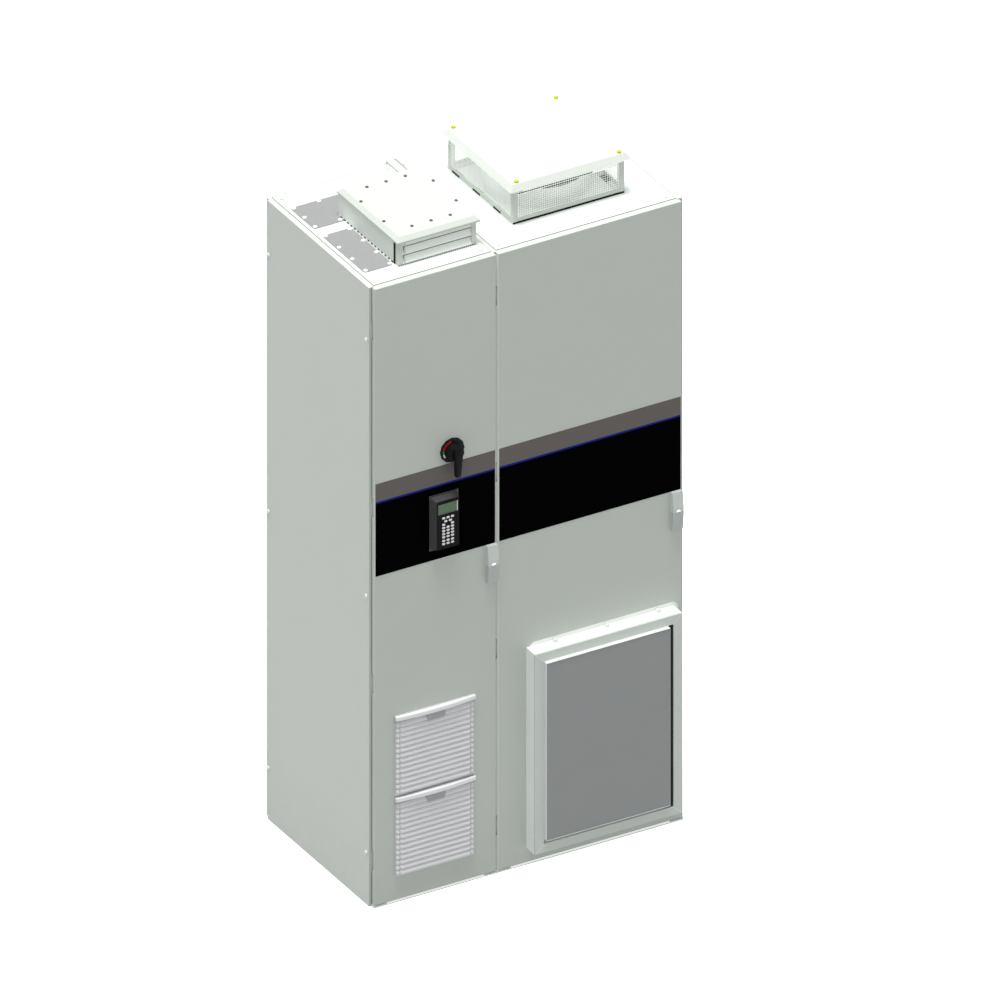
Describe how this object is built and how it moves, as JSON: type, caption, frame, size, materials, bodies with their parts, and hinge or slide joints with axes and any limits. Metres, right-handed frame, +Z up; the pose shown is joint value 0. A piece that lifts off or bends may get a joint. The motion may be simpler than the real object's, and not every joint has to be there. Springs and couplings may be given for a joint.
{
  "type": "variable frequency drive cabinet",
  "caption": "Floor-standing two-bay drive cabinet with hinged doors, keypad, rotary switch handle, filter grilles, filter box, exhaust hood and caged roof fan.",
  "frame": {"origin": "centre of the cabinet's footprint, on the floor", "axes": "+X to the right seen from the front, +Y to the back, +Z up"},
  "size_m": [1.0204, 0.668, 2.137],
  "materials": {
    "cabinet_paint": "fine-textured light grey powder coat",
    "door_paint": "fine-textured light grey powder coat",
    "galvanised": "galvanised sheet",
    "screw_steel": "bright zinc plated",
    "white_paint": "white powder coat",
    "black_rubber": "soft black seal",
    "banner_print": "satin printed film",
    "black_plastic": "fine spark-eroded black",
    "dark_plastic": "dark grey moulded",
    "key_plastic": "white silicone keys",
    "start_key": "white silicone key",
    "stop_key": "white silicone key",
    "display_film": "green display behind a clear film",
    "latch_metal": "painted die casting",
    "lock_metal": "nickel plated",
    "grille_plastic": "light grey moulded",
    "filter_fleece": "grey fibre filter mat",
    "yellow_plastic": "yellow moulded caps",
    "fan_metal": "black painted fan parts",
    "insulator": "moulded switchgear insulation",
    "fuse_ceramic": "ceramic fuse bodies",
    "core_steel": "varnished laminations",
    "winding": "varnished copper winding",
    "aluminium": "extruded aluminium",
    "capacitor_can": "aluminium cans",
    "circuit_board": "green circuit board",
    "copper": "tinned copper bar"
  },
  "bodies": {
    "cabinet": {"frame_left_bay": "cabinet_paint", "frame_right_bay": "cabinet_paint", "side_panel_left": "cabinet_paint", "side_panel_right": "cabinet_paint", "rear_panels": "cabinet_paint", "roof_plate_left": "cabinet_paint", "roof_plate_right": "cabinet_paint", "gland_plates": "galvanised", "panel_screws": "screw_steel", "baying_bracket": "galvanised", "exhaust_hood_casing": "white_paint", "exhaust_hood_lid": "white_paint", "exhaust_hood_louvre": "white_paint", "fan_cage": "white_paint", "fan_cage_lid": "white_paint", "fan_cage_seal": "black_rubber", "fan_cage_caps": "yellow_plastic", "roof_fan_stator": "fan_metal", "door_gaskets": "black_rubber", "hinge_pins": "galvanised", "mounting_plates": "galvanised", "disconnect_switch": "insulator", "line_fuses": "fuse_ceramic", "line_reactor_core": "core_steel", "line_reactor_coils": "winding", "power_module_chassis": "galvanised", "heatsink": "aluminium", "igbt_modules": "insulator", "dc_capacitors": "capacitor_can", "control_board": "circuit_board", "busbars": "copper"},
    "roof_fan_impeller": {"roof_fan_impeller": "fan_metal"},
    "left_door": {"left_door_shell": "door_paint", "left_door_banner": "banner_print", "keypad_bezel": "black_plastic", "keypad_housing": "dark_plastic", "keypad_display": "display_film", "left_latch_housing": "latch_metal", "disconnect_escutcheon": "black_plastic", "inlet_filter_mats": "filter_fleece"},
    "keypad_keys": {"keypad_keys": "key_plastic"},
    "keypad_stop_key": {"keypad_stop_key": "stop_key"},
    "keypad_start_key": {"keypad_start_key": "start_key"},
    "left_latch_lever": {"left_latch_lever": "latch_metal"},
    "left_lock_button": {"left_lock_button": "lock_metal"},
    "left_lock_bar": {"left_lock_bar": "galvanised"},
    "disconnect_handle": {"disconnect_handle": "black_plastic"},
    "disconnect_shaft": {"disconnect_shaft": "galvanised"},
    "filter_grille_lower": {"filter_grille_lower": "grille_plastic"},
    "filter_grille_upper": {"filter_grille_upper": "grille_plastic"},
    "right_door": {"right_door_shell": "door_paint", "right_door_banner": "banner_print", "right_latch_housing": "latch_metal", "filter_box_casing": "door_paint", "filter_box_screws": "screw_steel"},
    "right_latch_lever": {"right_latch_lever": "latch_metal"},
    "right_lock_button": {"right_lock_button": "lock_metal"},
    "right_lock_bar": {"right_lock_bar": "galvanised"},
    "filter_box_frame": {"filter_box_frame": "door_paint", "filter_box_mat": "filter_fleece"}
  },
  "joints": [
    {"name": "left_door_swing", "type": "hinge", "parent": "cabinet", "child": "left_door", "pos_m": [-0.492, -0.297, 1], "axis": [0, 0, -1], "range_deg": [0, 130]},
    {"name": "right_door_swing", "type": "hinge", "parent": "cabinet", "child": "right_door", "pos_m": [-0.092, -0.297, 1], "axis": [0, 0, -1], "range_deg": [0, 95]},
    {"name": "left_latch_turn", "type": "hinge", "parent": "left_door", "child": "left_latch_lever", "pos_m": [-0.1216, -0.31, 1.009], "axis": [0, -1, 0], "range_deg": [0, 90]},
    {"name": "right_latch_turn", "type": "hinge", "parent": "right_door", "child": "right_latch_lever", "pos_m": [0.4756, -0.31, 1.009], "axis": [0, -1, 0], "range_deg": [0, 90]},
    {"name": "left_lock_press", "type": "slide", "parent": "left_latch_lever", "child": "left_lock_button", "axis": [0, 1, 0], "range_m": [0, 0.002], "stiffness_N_per_m": 300},
    {"name": "right_lock_press", "type": "slide", "parent": "right_latch_lever", "child": "right_lock_button", "axis": [0, 1, 0], "range_m": [0, 0.002], "stiffness_N_per_m": 300},
    {"name": "left_lock_bar_slide", "type": "slide", "parent": "left_door", "child": "left_lock_bar", "axis": [0, 0, 1], "range_m": [0, 0.012]},
    {"name": "right_lock_bar_slide", "type": "slide", "parent": "right_door", "child": "right_lock_bar", "axis": [0, 0, 1], "range_m": [0, 0.012]},
    {"name": "disconnect_handle_turn", "type": "hinge", "parent": "left_door", "child": "disconnect_handle", "pos_m": [-0.248, -0.32, 1.411], "axis": [0, 1, 0], "range_deg": [0, 90]},
    {"name": "disconnect_shaft_turn", "type": "hinge", "parent": "cabinet", "child": "disconnect_shaft", "pos_m": [-0.248, 0, 1.411], "axis": [0, 1, 0], "range_deg": [0, 90]},
    {"name": "upper_grille_tilt", "type": "hinge", "parent": "left_door", "child": "filter_grille_upper", "pos_m": [-0.3055, -0.3081, 0.3519], "axis": [1, 0, 0], "range_deg": [0, 60]},
    {"name": "lower_grille_tilt", "type": "hinge", "parent": "left_door", "child": "filter_grille_lower", "pos_m": [-0.3055, -0.3081, 0.0899], "axis": [1, 0, 0], "range_deg": [0, 60]},
    {"name": "filter_frame_tilt", "type": "hinge", "parent": "right_door", "child": "filter_box_frame", "pos_m": [0.23, -0.34875, 0.05825], "axis": [1, 0, 0], "range_deg": [0, 30]},
    {"name": "roof_fan_spin", "type": "hinge", "parent": "cabinet", "child": "roof_fan_impeller", "pos_m": [0.2, 0.0025, 2.04], "axis": [0, 0, 1], "continuous": true},
    {"name": "keypad_keys_press", "type": "slide", "parent": "left_door", "child": "keypad_keys", "axis": [0, 1, 0], "range_m": [0, 0.001], "stiffness_N_per_m": 300},
    {"name": "keypad_stop_key_press", "type": "slide", "parent": "left_door", "child": "keypad_stop_key", "axis": [0, 1, 0], "range_m": [0, 0.001], "stiffness_N_per_m": 300},
    {"name": "keypad_start_key_press", "type": "slide", "parent": "left_door", "child": "keypad_start_key", "axis": [0, 1, 0], "range_m": [0, 0.001], "stiffness_N_per_m": 300}
  ],
  "couplings": [
    {"joint": "left_lock_bar_slide", "follows": "left_latch_turn", "m_per_rad": 0.00763},
    {"joint": "right_lock_bar_slide", "follows": "right_latch_turn", "m_per_rad": 0.00763},
    {"joint": "disconnect_shaft_turn", "follows": "disconnect_handle_turn", "ratio": 1}
  ]
}
